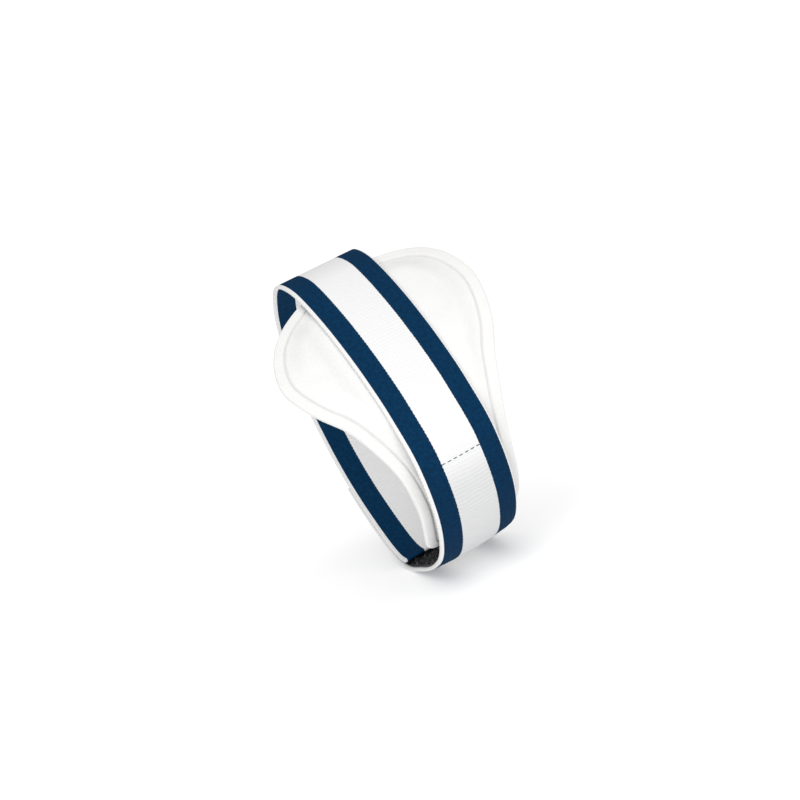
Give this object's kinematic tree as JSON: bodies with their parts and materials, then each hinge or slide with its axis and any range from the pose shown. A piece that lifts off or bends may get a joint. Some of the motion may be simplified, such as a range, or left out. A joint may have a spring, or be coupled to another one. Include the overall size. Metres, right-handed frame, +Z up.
{
  "type": "tennis elbow strap",
  "caption": "Elastic forearm strap with a two-lobed foam pad under it, closed by a hook patch inside its lapped free end.",
  "frame": {"origin": "on the axis of the hollow that the forearm fills, midway across the band", "axes": "+X along the forearm towards the wrist, -Y the side the pad lies on, +Z up"},
  "size_m": [0.0776, 0.1022, 0.1085],
  "materials": {
    "webbing": "woven elastic webbing, white with a navy stripe along each edge, matte",
    "hook_tape": "black hook tape with fine upright hooks",
    "pad_cloth": "smooth white brushed cloth over foam, matte"
  },
  "bodies": {
    "root": {"band": "webbing", "hook_patch": "hook_tape", "pad": "pad_cloth"}
  },
  "joints": []
}
